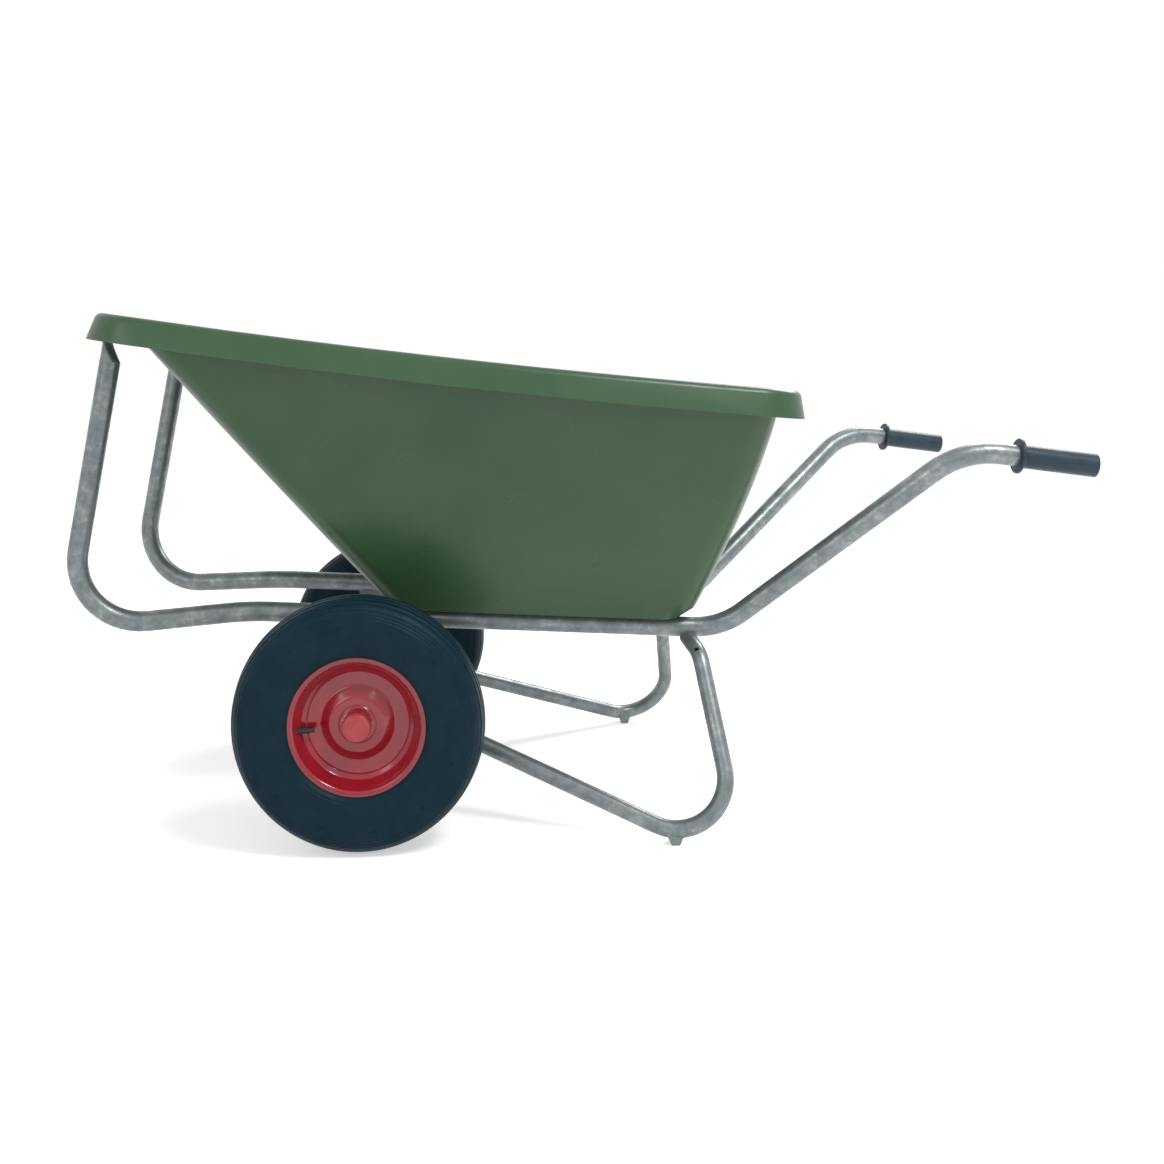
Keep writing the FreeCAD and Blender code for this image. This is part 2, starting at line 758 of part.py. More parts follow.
def make_hanger(name, side, envelope):
    """Plate from the rail's underside down round the axle."""
    radius = number("hanger_low_radius")
    half = number("hanger_top_length") / 2
    centre = axle_point(side * number("hanger_y"))
    rise = rail_height(number("axle_x")) - number("tyre_radius")
    left = centre + Vector(-half, 0, rise)
    right = centre + Vector(half, 0, rise)
    side_left = centre + Vector(-radius, 0, 0)
    side_right = centre + Vector(radius, 0, 0)
    bottom = centre + Vector(0, 0, -radius)
    edges = [
        Part.LineSegment(left, right).toShape(),
        Part.LineSegment(right, side_right).toShape(),
        Part.Arc(side_right, bottom, side_left).toShape(),
        Part.LineSegment(side_left, left).toShape(),
    ]
    thickness = number("hanger_thickness")
    face = Part.Face(Part.Wire(edges))
    face.translate(Y_AXIS * (-thickness / 2))
    plate = face.extrude(Y_AXIS * thickness)
    bore = number("axle_diameter") / 2 + number("fit_gap")
    plate = plate.cut(Part.makeCylinder(bore, thickness * 3, centre - Y_AXIS * thickness * 1.5, Y_AXIS))
    solid_feature("axle_hanger_" + name, lowest_solid(plate.cut(envelope)))


def lowest_solid(shape):
    return min(shape.Solids, key=lambda solid: solid.BoundBox.ZMin)


def make_grip(name, side):
    """Hand grip with a round collar, closed at its end."""
    tube = size("tube_diameter") / 2
    bore = tube + size("fit_gap")
    outside = bore + size("grip_wall")
    collar = size("collar_diameter") / 2
    length = size("grip_length")
    corners = [
        (bore, -size("collar_thickness")),
        (collar, -size("collar_thickness")),
        (collar, as_size(0)),
        (outside, as_size(0)),
        (outside, length),
        (as_size(0), length),
        (as_size(0), length - size("grip_end_wall")),
        (bore, length - size("grip_end_wall")),
    ]
    end = named_point("grip_end", side)
    along = (end - named_point("shoulder", side)).normalize()
    place = Placement(end - along * length.value, Rotation(Y_AXIS, along))
    rounds = (size("collar_thickness") * 0.4, [(collar, -size("collar_thickness")), (collar, as_size(0))])
    body = turned_body("hand_grip_" + name, corners, place, rounds)
    register(body, "hand_grip_" + name)


# ---------------------------------------------------------------- fasteners

def bolt(name, place, shank):
    """A flat round head above the placement's origin and a shank below it."""
    head = cylinder(name + "_head", size("bolt_head_diameter") / 2, size("bolt_head_height"), place)
    down = place.multiply(Placement(Vector(0, 0, -shank), Rotation()))
    body = cylinder(name + "_shank", size("bolt_diameter") / 2, as_size(shank), down)
    return fuse(name, head, body)


def washer(name, place):
    ring = cylinder(name + "_disc", size("washer_diameter") / 2, size("washer_thickness"), place)
    hole = cylinder(name + "_hole", size("bolt_diameter") / 2 + size("fit_gap"),
                    size("washer_thickness"), place)
    return cut(name, ring, hole)


def nut(name, place):
    prism = doc.addObject("Part::Prism", name + "_hexagon")
    prism.Polygon = 6
    bind(prism, Circumradius=size("nut_across_corners") / 2, Height=size("nut_height"))
    prism.Placement = place
    hole = cylinder(name + "_hole", size("bolt_diameter") / 2 + size("fit_gap"), size("nut_height"), place)
    return cut(name, prism, hole)


def tub_bolt_places():
    y = number("tub_bolt_y")
    return [(number(bar), side * y) for bar in ("front_bar_x", "rear_bar_x") for side in (-1, 1)]


def fastener_groups(prefix, places, grip):
    """Bolts, washers and nuts on these placements, clamping a thickness of grip."""
    gap = number("seat_gap")
    washer_drop = grip + gap + number("washer_thickness")
    nut_drop = washer_drop + number("nut_height")
    bolts, washers, nuts = [], [], []
    for index, place in enumerate(places, start=1):
        shank = nut_drop + number("bolt_spare")
        bolts.append(bolt("%s_bolt_%d" % (prefix, index), place, shank))
        washers.append(washer("%s_washer_%d" % (prefix, index),
                              place.multiply(Placement(Vector(0, 0, -washer_drop), Rotation()))))
        nuts.append(nut("%s_nut_%d" % (prefix, index),
                        place.multiply(Placement(Vector(0, 0, -nut_drop), Rotation()))))
    register(group(prefix + "_bolts", bolts), prefix + "_bolts")
    register(group(prefix + "_washers", washers), prefix + "_washers")
    register(group(prefix + "_nuts", nuts), prefix + "_nuts")


def make_tub_fasteners():
    above = number("tub_wall")
    places = [Placement(base_point(x, y, above), base_rotation()) for x, y in tub_bolt_places()]
    fastener_groups("tub", places, above + number("bar_thickness"))


def make_lip_fasteners():
    places = []
    for side in SIDES.values():
        edge, climb, outward = lip_face(side)
        head = edge + climb * number("lip_bolt_height") + outward * number("seat_gap")
        places.append(Placement(head, Rotation(Z_AXIS, outward)))
    grip = number("lip_wall") + 3 * number("seat_gap") + number("tab_thickness")
    fastener_groups("lip", places, grip)


# ---------------------------------------------------------------- axle and wheels

def wheel_placement(side):
    """The wheel's own frame: +Y points outwards from the middle plane."""
    rotation = Rotation() if side > 0 else Rotation(X_AXIS, 180)
    return Placement(axle_point(side * number("wheel_y")), rotation)


def outward_placement(side, along):
    """A frame on the axle whose +Z points outwards, this far from the wheel's middle plane."""
    centre = axle_point(side * (number("wheel_y") + along))
    return Placement(centre, Rotation(Z_AXIS, Y_AXIS * side))


def make_axle():
    reach = size("wheel_y") + size("axle_overhang")
    start = spot(number("axle_x"), -reach.value, number("tyre_radius"), Rotation(Z_AXIS, Y_AXIS))
    bar = cylinder("axle_bar", size("axle_diameter") / 2, reach * 2, start)
    holes = []
    for name, side in SIDES.items():
        drop = size("axle_diameter")
        place = pin_placement(side, drop.value)
        holes.append(cylinder("pin_hole_" + name, size("pin_diameter") / 2 + size("fit_gap"), drop * 2, place))
    register(cut("axle", bar, group("pin_holes", holes)), "axle")


def pin_distance():
    """Split pin's centre beyond the wheel's middle plane."""
    bush_end = number("hub_outer_end") - number("bush_recess")
    pin = number("pin_diameter") / 2
    return bush_end + number("end_gap") + number("axle_washer_thickness") + pin + number("fit_gap")


def pin_placement(side, half_length):
    """Frame of a split pin, which stands upright through the axle."""
    centre = axle_point(side * (number("wheel_y") + pin_distance()))
    return Placement(centre - Z_AXIS * half_length, Rotation())


def make_axle_retainers():
    washers, pins = [], []
    start = number("hub_outer_end") - number("bush_recess") + number("end_gap")
    for name, side in SIDES.items():
        place = outward_placement(side, start)
        disc = cylinder("axle_washer_disc_" + name, size("axle_washer_diameter") / 2,
                        size("axle_washer_thickness"), place)
        hole = cylinder("axle_washer_hole_" + name, size("axle_diameter") / 2 + size("fit_gap"),
                        size("axle_washer_thickness"), place)
        washers.append(cut("axle_washer_" + name, disc, hole))
        pins.append(cylinder("split_pin_" + name, size("pin_diameter") / 2, size("pin_length"),
                             pin_placement(side, number("pin_length") / 2)))
    register(group("axle_washers", washers), "axle_washers")
    register(group("split_pins", pins), "split_pins")


def make_spacer(name, side):
    """Tube on the axle from the hanger to the wheel's inner bush."""
    inner_face = number("hanger_y") + number("hanger_thickness") / 2
    outer_face = number("wheel_y") - number("hub_inner_end") - number("end_gap")
    length = size("wheel_y") - size("hub_inner_end") - size("end_gap") \
        - size("hanger_y") - size("hanger_thickness") / 2
    place = Placement(axle_point(side * inner_face), Rotation(Z_AXIS, Y_AXIS * side))
    tube = cylinder("spacer_tube_" + name, size("spacer_diameter") / 2, length, place)
    bore = cylinder("spacer_bore_" + name, size("axle_diameter") / 2 + size("fit_gap"), length, place)
    assert abs(outer_face - inner_face - length.value) < 0.001
    register(cut("axle_spacer_" + name, tube, bore), "axle_spacer_" + name)


def tread_arc():
    """Radius of the tyre at the tread's edge, and the section radius of the tread's crown."""
    half = size("shoulder_half_width")
    drop = size("shoulder_drop")
    return size("tyre_radius") - drop, (half * half + drop * drop) / (drop * 2)


def inner_tread_arc():
    """The same inside the tyre: edge radius, half width and section radius."""
    shoulder, crown = tread_arc()
    deep = size("tread_thickness") / 2
    return shoulder - deep, size("shoulder_half_width") - size("sidewall_thickness"), crown - deep


def inner_tube_ring():
    """Radius of the inner tube's ring, so that it reaches the tread's inside."""
    edge, half, crown = inner_tread_arc()
    inside = edge + crown - (crown * crown - half * half).root()
    return inside - size("fit_gap") - size("tube_section_radius")


def make_tyre(name, side):
    bead = size("seat_radius") + size("fit_gap") * 2
    face = size("seat_half_width") - size("fit_gap") * 2
    toe = face - size("seat_depth") + 1
    flange = size("flange_radius") + size("sheet")
    half = size("shoulder_half_width")
    bulge = size("sidewall_radius")
    wall = size("sidewall_thickness")
    shoulder, crown = tread_arc()
    inner_shoulder, inner_half, inner_crown = inner_tread_arc()
    corners = [
        (bead, face),
        (flange, face, bulge, 1),
        (shoulder, half, crown, 1),
        (shoulder, -half, bulge, 1),
        (flange, -face),
        (bead, -face),
        (bead, -toe),
        (bead + wall, -toe + 2, bulge - wall, -1),
        (inner_shoulder, -inner_half, inner_crown, -1),
        (inner_shoulder, inner_half, bulge - wall, -1),
        (bead + wall, toe - 2),
        (bead, toe),
    ]
    body = turned_body("tyre_" + name, corners, wheel_placement(side))
    cut_tread(body, name)
    register(body, "tyre_" + name)


def cut_tread(body, name):
    """Four plain grooves round the tread."""
    top = size("tyre_radius") + size("groove_depth")
    for index, along in enumerate((-1.5, -0.5, 0.5, 1.5)):
        middle = size("groove_pitch") * along
        low = size("tyre_radius") - size("groove_depth") * (1 + along * along / 2.25)
        near = middle - size("groove_width") / 2
        far = middle + size("groove_width") / 2
        sketch = outline_sketch(body, "XY_Plane", [(low, near), (top, near), (top, far), (low, far)])
        groove = body.newObject("PartDesign::Groove", "tread_%s_%d" % (name, index))
        groove.Profile = sketch
        groove.ReferenceAxis = (sketch, ["V_Axis"])
        groove.Angle = 360
    doc.recompute()


def make_inner_tube(name, side):
    """Inflated tube inside the tyre, resting on the crown's inside."""
    ring = inner_tube_ring()
    tori = []
    for kind, section in (("outside", size("tube_section_radius")),
                          ("inside", size("tube_section_radius") - size("inner_tube_wall"))):
        torus = doc.addObject("Part::Torus", "inner_tube_%s_%s" % (kind, name))
        bind(torus, Radius1=ring, Radius2=section)
        torus.Placement = outward_placement(side, 0)
        tori.append(torus)
    register(cut("inner_tube_" + name, tori[0], tori[1]), "inner_tube_" + name)


def half_rim_corners(edge_radius):
    """Pressed half rim from its flange in to the edge of its flat disc."""
    flange = size("flange_radius")
    seat = size("seat_radius")
    sheet_size = size("sheet")
    width = size("seat_half_width")
    well = size("well_radius")
    step = size("disc_step_radius")
    gap = size("fit_gap")
    air = [
        (flange, width),
        (flange, width + sheet_size),
        (seat + sheet_size / 2, width + sheet_size),
        (seat - sheet_size, width),
        (seat - sheet_size, width - size("seat_depth")),
        (well - sheet_size, size("well_half_width")),
        (step + sheet_size, gap + sheet_size),
        (edge_radius, gap + sheet_size),
    ]
    tyre = [
        (edge_radius, gap),
        (well, gap),
        (well, size("well_half_width")),
        (seat, width - size("seat_depth")),
        (seat, width),
    ]
    return air, tyre


def make_rims(name, side):
    """Outer half with the dished disc, pierced for the valve, and the plain inner half."""
    cone = size("disc_cone_radius")
    hub = size("hub_diameter") / 2 + size("fit_gap")
    back = size("disc_cone_rise") + size("fit_gap")
    front = back + size("sheet")
    air, tyre = half_rim_corners(cone)
    crown = size("disc_crown_radius")
    dish = [(crown, front), (hub, front), (hub, back), (crown - size("sheet") / 2, back)]
    body = turned_body("rim_pressing_" + name, air + dish + tyre, wheel_placement(side))
    hole = cylinder("valve_hole_" + name, size("valve_diameter") / 2 + size("fit_gap") * 2,
                    size("seat_radius"), valve_placement(side, number("hub_diameter")))
    register(cut("rim_outer_" + name, body, hole), "rim_outer_" + name)
    air, tyre = half_rim_corners(cone + size("sheet") * 2)
    flipped = [(radius, -along) for radius, along in air + tyre]
    inner = turned_body("rim_inner_" + name, flipped, wheel_placement(side))
    register(inner, "rim_inner_" + name)


def make_hub(name, side):
    outside = size("hub_diameter") / 2
    bore = size("hub_bore") / 2
    far = size("hub_outer_end")
    near = -size("hub_inner_end")
    place = wheel_placement(side)
    hub = turned_body("hub_" + name, [(bore, near), (outside, near), (outside, far), (bore, far)], place)
    register(hub, "hub_" + name)
    shaft = size("axle_diameter") / 2 + size("running_gap")
    seat = bore - size("fit_gap")
    outer_end = far - size("bush_recess")
    for kind, start in (("outer", outer_end - size("bush_length")), ("inner", near)):
        end = start + size("bush_length")
        label = "hub_bush_%s_%s" % (kind, name)
        register(turned_body(label, [(shaft, start), (seat, start), (seat, end), (shaft, end)], place), label)


def make_hub_cap(name, side):
    """Domed cap pushed into the hub's outer end."""
    outside = size("cap_diameter") / 2
    skirt = size("hub_bore") / 2 - size("fit_gap")
    inside = skirt - size("cap_wall")
    rim = size("hub_outer_end") + size("fit_gap")
    top = size("hub_outer_end") + size("cap_height")
    low = size("hub_outer_end") - size("cap_skirt")
    centre = as_size(0)
    corners = [
        (inside, low),
        (skirt, low),
        (skirt, rim),
        (outside, rim),
        (outside, top),
        (centre, top),
        (centre, top - size("cap_wall")),
        (inside, top - size("cap_wall")),
    ]
    rounds = (size("cap_round"), [(outside, top)])
    label = "hub_cap_" + name
    register(turned_body(label, corners, wheel_placement(side), rounds), label)


def valve_placement(side, distance):
    """Frame whose +Z runs out along the valve, starting this far from the axle."""
    angle = math.radians(number("valve_angle"))
    outwards = Vector(-math.cos(angle), 0, -math.sin(angle))
    centre = axle_point(side * (number("wheel_y") + number("valve_y")))
    return Placement(centre + outwards * distance, Rotation(Z_AXIS, outwards))


def make_valve(name, side):
    """Rubber stem from the inner tube through the rim, and its screw cap."""
    tip = size("valve_tip_radius")
    section = size("tube_section_radius")
    near_edge = size("valve_y") - size("valve_diameter") / 2
    end = inner_tube_ring() - (section * section - near_edge * near_edge).root() - size("fit_gap")
    stem = cylinder("valve_stem_" + name, size("valve_diameter") / 2, end - tip,
                    valve_placement(side, tip.value))
    register(stem, "valve_stem_" + name)
    cap_start = tip - size("fit_gap") - size("valve_cap_length")
    cap = cylinder("valve_cap_" + name, size("valve_cap_diameter") / 2, size("valve_cap_length"),
                   valve_placement(side, cap_start.value))
    register(cap, "valve_cap_" + name)


# ---------------------------------------------------------------- the whole object

def check_and_write():
    """Stop on any failed object, then write each sub-part."""
    doc.recompute()
    for thing in doc.Objects:
        if "Invalid" in thing.State or "Error" in thing.State:
            raise RuntimeError("failed object: " + thing.Label)
    for node in nodes:
        if node.Shape.isNull() or not node.Shape.isValid() or not node.Shape.Solids:
            raise RuntimeError("bad shape: " + node.Label)
    os.makedirs("parts", exist_ok=True)
    for node in nodes:
        node.Shape.exportStep("parts/%s.step" % node.Label)


rail_envelopes = {name: rail_envelope(side) for name, side in SIDES.items()}
make_tub()
make_cross_bar("front_cross_bar", number("front_bar_x"), rail_envelopes)
make_cross_bar("rear_cross_bar", number("rear_bar_x"), rail_envelopes)
make_tub_fasteners()
make_lip_fasteners()
make_axle()
make_axle_retainers()
for side_name, side_sign in SIDES.items():
    make_side_rail(side_name, side_sign)
    make_leg(side_name, side_sign, rail_envelopes[side_name])
    make_foot(side_name, side_sign)
    make_hanger(side_name, side_sign, rail_envelopes[side_name])
    make_spacer(side_name, side_sign)
    make_grip(side_name, side_sign)
    make_tyre(side_name, side_sign)
    make_inner_tube(side_name, side_sign)
    make_rims(side_name, side_sign)
    make_hub(side_name, side_sign)
    make_hub_cap(side_name, side_sign)
    make_valve(side_name, side_sign)
check_and_write()
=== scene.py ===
import json
import math

import bmesh
import bpy
from mathutils import Matrix, Vector


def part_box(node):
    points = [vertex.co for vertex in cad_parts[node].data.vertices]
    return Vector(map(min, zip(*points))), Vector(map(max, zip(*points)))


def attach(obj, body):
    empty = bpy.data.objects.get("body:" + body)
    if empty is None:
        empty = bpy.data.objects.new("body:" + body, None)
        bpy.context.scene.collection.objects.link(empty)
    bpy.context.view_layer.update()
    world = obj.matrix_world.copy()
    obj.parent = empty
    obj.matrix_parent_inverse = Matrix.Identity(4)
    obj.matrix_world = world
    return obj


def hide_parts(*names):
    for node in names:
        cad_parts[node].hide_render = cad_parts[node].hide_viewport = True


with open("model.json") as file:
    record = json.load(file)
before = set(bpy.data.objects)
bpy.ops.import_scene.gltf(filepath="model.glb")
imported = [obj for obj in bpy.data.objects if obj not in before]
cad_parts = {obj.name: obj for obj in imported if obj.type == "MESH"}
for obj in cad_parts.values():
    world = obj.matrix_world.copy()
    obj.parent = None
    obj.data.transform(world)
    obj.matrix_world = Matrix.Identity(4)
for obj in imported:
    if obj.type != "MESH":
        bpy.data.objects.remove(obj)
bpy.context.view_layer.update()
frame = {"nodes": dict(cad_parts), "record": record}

SIDES = {"left": -1, "right": 1}


# ---------------------------------------------------------------- materials

class Nodes:
    """A material's node tree, with short calls for the nodes that the materials share."""

    def __init__(self, name):
        self.material = bpy.data.materials.new(name)
        self.material.use_nodes = True
        self.tree = self.material.node_tree
        self.shader = self.tree.nodes["Principled BSDF"]
        self.place = self.add("ShaderNodeTexCoord").outputs["Object"]

    def add(self, kind, **settings):
        node = self.tree.nodes.new(kind)
        for key, value in settings.items():
            setattr(node, key, value)
        return node

    def link(self, source, target):
        self.tree.links.new(source, target)
        return source

    def feed(self, socket, value):
        if hasattr(value, "is_output"):
            self.link(value, socket)
        else:
            socket.default_value = value

    def stretched(self, scale):
        """The place, scaled along each axis."""
        node = self.add("ShaderNodeMapping")
        self.link(self.place, node.inputs["Vector"])
        node.inputs["Scale"].default_value = scale
        return node.outputs["Vector"]

    def noise(self, scale, detail=3, roughness=0.55, place=None, distortion=0.0):
        node = self.add("ShaderNodeTexNoise")
        self.link(place or self.place, node.inputs["Vector"])
        node.inputs["Scale"].default_value = scale
        node.inputs["Detail"].default_value = detail
        node.inputs["Roughness"].default_value = roughness
        node.inputs["Distortion"].default_value = distortion
        return node.outputs["Fac"]

    def cells(self, scale, feature="F1", output="Distance", place=None):
        node = self.add("ShaderNodeTexVoronoi", feature=feature)
        self.link(place or self.place, node.inputs["Vector"])
        node.inputs["Scale"].default_value = scale
        return node.outputs[output]

    def ramp(self, value, *stops):
        """A colour or grey for each place on the value, such as (0.3, 0.1), (0.7, 0.4)."""
        node = self.add("ShaderNodeValToRGB")
        self.link(value, node.inputs["Fac"])
        points = node.color_ramp.elements
        while len(points) < len(stops):
            points.new(0.5)
        for point, (position, colour) in zip(points, stops):
            point.position = position
            point.color = (*colour, 1) if isinstance(colour, tuple) else (colour, colour, colour, 1)
        return node.outputs["Color"]

    def mix(self, amount, first, second):
        node = self.add("ShaderNodeMix", data_type="RGBA")
        self.feed(node.inputs[0], amount)
        for socket, value in ((node.inputs[6], first), (node.inputs[7], second)):
            self.feed(socket, (*value, 1) if isinstance(value, tuple) else value)
        return node.outputs[2]

    def math(self, operation, first, second=0.0):
        node = self.add("ShaderNodeMath", operation=operation)
        self.feed(node.inputs[0], first)
        self.feed(node.inputs[1], second)
        return node.outputs[0]

    def bump(self, height, strength, depth, before=None):
        node = self.add("ShaderNodeBump")
        node.inputs["Strength"].default_value = strength
        node.inputs["Distance"].default_value = depth
        self.link(height, node.inputs["Height"])
        if before:
            self.link(before, node.inputs["Normal"])
        return node.outputs["Normal"]

    def finish(self, colour, roughness, normal=None, **constants):
        self.feed(self.shader.inputs["Base Color"], colour)
        self.feed(self.shader.inputs["Roughness"], roughness)
        if normal:
            self.link(normal, self.shader.inputs["Normal"])
        for name, value in constants.items():
            self.shader.inputs[name.replace("_", " ")].default_value = value
        return self.material


def tub_plastic():
    """Green moulded plastic: faint clouding, fine grain, soft waves, a few hairline scuffs and a painted highlight
    along the sharp edges.
    """
    n = Nodes("tub_plastic")
    clouds = n.noise(5, detail=4)
    colour = n.ramp(clouds, (0.3, (0.030, 0.080, 0.034)), (0.7, (0.044, 0.098, 0.044)))
    scuffs = n.ramp(n.noise(9, detail=8, roughness=0.7, place=n.stretched((1, 1, 14))), (0.62, 0.0), (0.82, 0.22))
    colour = n.mix(scuffs, colour, (0.085, 0.14, 0.085))
    # Painted highlight: paler green where the mesh is sharply convex (pointiness), standing in for the light caught
    # along the eased edges.
    painted_edge_highlight = n.ramp(n.add("ShaderNodeNewGeometry").outputs["Pointiness"], (0.53, 0.0), (0.60, 0.55))
    colour = n.mix(painted_edge_highlight, colour, (0.15, 0.24, 0.16))
    roughness = n.ramp(n.noise(14, detail=5), (0.3, 0.26), (0.7, 0.36))
    waves = n.bump(n.noise(4.5, detail=1), 0.2, 0.004)
    grain = n.bump(n.noise(900, detail=2), 0.12, 0.0004, waves)
    return n.finish(colour, roughness, grain, IOR=1.5, Specular_IOR_Level=0.42)


def galvanised_tube():
    """Hot-dipped zinc: pale and dark spangles, cloudy patches and runs along the tube."""
    n = Nodes("galvanised_tube")
    spangle = n.cells(140, output="Color")
    flakes = n.ramp(n.noise(60, detail=6, roughness=0.7, place=spangle), (0.35, 0.0), (0.65, 1.0))
    patches = n.ramp(n.noise(34, detail=7, roughness=0.7), (0.36, 0.0), (0.66, 1.0))
    blend = n.math("ADD", n.math("MULTIPLY", flakes, 0.3), n.math("MULTIPLY", patches, 0.7))
    colour = n.ramp(blend, (0.1, (0.150, 0.175, 0.182)), (0.55, (0.215, 0.240, 0.246)), (0.95, (0.33, 0.355, 0.355)))
    specks = n.ramp(n.noise(210, detail=5, roughness=0.75), (0.68, 0.0), (0.78, 0.6))
    colour = n.mix(specks, colour, (0.55, 0.57, 0.57))
    roughness = n.ramp(blend, (0.1, 0.44), (0.9, 0.28))
    pits = n.bump(n.noise(420, detail=4, roughness=0.7), 0.2, 0.0005)
    runs = n.bump(n.noise(45, detail=3), 0.25, 0.0010, pits)
    return n.finish(colour, roughness, runs, Metallic=0.55)


def bare_steel(name, dark, pale, rough):
    """Plated or turned steel with fine brushing and small stains."""
    n = Nodes(name)
    stains = n.noise(120, detail=5, roughness=0.65)
    colour = n.ramp(stains, (0.3, dark), (0.7, pale))
    roughness = n.ramp(n.noise(700, detail=3), (0.3, rough - 0.08), (0.7, rough + 0.1))
    return n.finish(colour, roughness, n.bump(n.noise(900, detail=3), 0.2, 0.0003), Metallic=0.9)


def grip_plastic():
    n = Nodes("grip_plastic")
    colour = n.ramp(n.noise(40, detail=5), (0.3, (0.014, 0.032, 0.048)), (0.75, (0.028, 0.052, 0.070)))
    roughness = n.ramp(n.noise(160, detail=4), (0.3, 0.34), (0.7, 0.50))
    return n.finish(colour, roughness, n.bump(n.noise(1100, detail=3), 0.25, 0.0004), IOR=1.5,
                    Specular_IOR_Level=0.3)


def tyre_rubber():
    """Blue-black rubber with a dusty bloom and a fine mould texture."""
    n = Nodes("tyre_rubber")
    bloom = n.noise(22, detail=6, roughness=0.6)
    colour = n.ramp(bloom, (0.3, (0.002, 0.017, 0.029)), (0.7, (0.006, 0.026, 0.040)))
    dust = n.ramp(n.noise(160, detail=7, roughness=0.75), (0.60, 0.0), (0.80, 0.35))
    colour = n.mix(dust, colour, (0.030, 0.055, 0.070))
    roughness = n.ramp(n.noise(90, detail=5), (0.3, 0.36), (0.7, 0.52))
    return n.finish(colour, roughness, n.bump(n.noise(700, detail=4), 0.3, 0.0005), IOR=1.45,
                    Specular_IOR_Level=0.14)


def inner_rubber():
    n = Nodes("inner_tube_rubber")
    colour = n.ramp(n.noise(80, detail=4), (0.3, (0.010, 0.010, 0.011)), (0.7, (0.02, 0.02, 0.021)))
    return n.finish(colour, 0.6, n.bump(n.noise(500, detail=3), 0.2, 0.0004))


def rim_paint():
    """Glossy red with a slight orange-peel skin and dusty specks."""
    n = Nodes("rim_paint")
    colour = n.ramp(n.noise(18, detail=4), (0.3, (0.27, 0.004, 0.014)), (0.7, (0.34, 0.007, 0.022)))
    dust = n.ramp(n.noise(420, detail=6, roughness=0.75), (0.66, 0.0), (0.74, 0.5))
    colour = n.mix(dust, colour, (0.42, 0.06, 0.08))
    roughness = n.ramp(n.noise(60, detail=4), (0.3, 0.12), (0.7, 0.22))
    peel = n.bump(n.noise(260, detail=2), 0.08, 0.0005)
    return n.finish(colour, roughness, peel, IOR=1.5, Coat_Weight=0.4, Coat_Roughness=0.04)


def cap_plastic():
    n = Nodes("cap_plastic")
    colour = n.ramp(n.noise(60, detail=5), (0.3, (0.36, 0.035, 0.045)), (0.7, (0.44, 0.055, 0.06)))
    roughness = n.ramp(n.noise(200, detail=4), (0.3, 0.32), (0.7, 0.46))
    return n.finish(colour, roughness, n.bump(n.noise(800, detail=3), 0.2, 0.0004), IOR=1.5)


def plain_plastic(name, dark, pale, rough):
    n = Nodes(name)
    colour = n.ramp(n.noise(150, detail=4), (0.3, dark), (0.7, pale))
    roughness = n.ramp(n.noise(400, detail=3), (0.3, rough - 0.08), (0.7, rough + 0.08))
    return n.finish(colour, roughness, n.bump(n.noise(900, detail=3), 0.2, 0.0003), IOR=1.5)


MATERIALS = {
    "tub_plastic": tub_plastic(),
    "galvanised_tube": galvanised_tube(),
    "axle_steel": bare_steel("axle_steel", (0.30, 0.31, 0.31), (0.46, 0.47, 0.47), 0.35),
    "zinc_fastener": bare_steel("zinc_fastener", (0.42, 0.43, 0.42), (0.60, 0.60, 0.58), 0.30),
    "grip_plastic": grip_plastic(),
    "tyre_rubber": tyre_rubber(),
    "inner_tube_rubber": inner_rubber(),
    "rim_paint": rim_paint(),
    "bush_nylon": plain_plastic("bush_nylon", (0.60, 0.60, 0.56), (0.72, 0.72, 0.68), 0.4),
    "cap_plastic": cap_plastic(),
    "valve_cap_plastic": plain_plastic("valve_cap_plastic", (0.006, 0.006, 0.007), (0.012, 0.012, 0.013), 0.4),
}


def dress_cad_nodes():
    """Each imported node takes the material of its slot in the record."""
    for entry in frame["record"]["subparts"]:
        mesh = frame["nodes"][entry["node"]].data
        mesh.materials.clear()
        mesh.materials.append(MATERIALS[entry["material_slot"]])


# ---------------------------------------------------------------- meshes

def new_piece(name, mesh, material, body, slot, *nodes):
    """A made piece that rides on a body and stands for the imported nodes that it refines."""
    piece = bpy.data.objects.new(name, mesh)
    bpy.context.scene.collection.objects.link(piece)
    mesh.materials.clear()
    mesh.materials.append(MATERIALS[material])
    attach(piece, body)
    if nodes:
        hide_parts(*nodes)
    return piece


def smooth_by_angle(mesh, degrees):
    """Smooth shading, with edges that turn more than the angle kept sharp."""
    built = bmesh.new()
    built.from_mesh(mesh)
    limit = math.radians(degrees)
    for face in built.faces:
        face.smooth = True
    for edge in built.edges:
        edge.smooth = len(edge.link_faces) == 2 and edge.calc_face_angle(0) < limit
    built.to_mesh(mesh)
    built.free()


def rounded(points, radius, steps=5):
    """A line through the points with each inner corner replaced by a short curve."""
    line = [Vector(points[0])]
    for before, corner, after in zip(points, points[1:], points[2:]):
        before, corner, after = Vector(before), Vector(corner), Vector(after)
        reach = min(radius, (before - corner).length * 0.45, (after - corner).length * 0.45)
        start = corner + (before - corner).normalized() * reach
        end = corner + (after - corner).normalized() * reach
        for step in range(steps + 1):
            share = step / steps
            line.append(start * (1 - share) ** 2 + corner * 2 * share * (1 - share) + end * share ** 2)
    line.append(Vector(points[-1]))
    return line


def thick_line(line, thickness):
    """A closed outline: the line, and back along its other side."""
    back = []
    for index, point in enumerate(line):
        before = line[max(index - 1, 0)]
        after = line[min(index + 1, len(line) - 1)]
        along = (after - before).normalized()
        back.append(point + Vector((-along.y, along.x)) * thickness)
    return line + back[::-1]


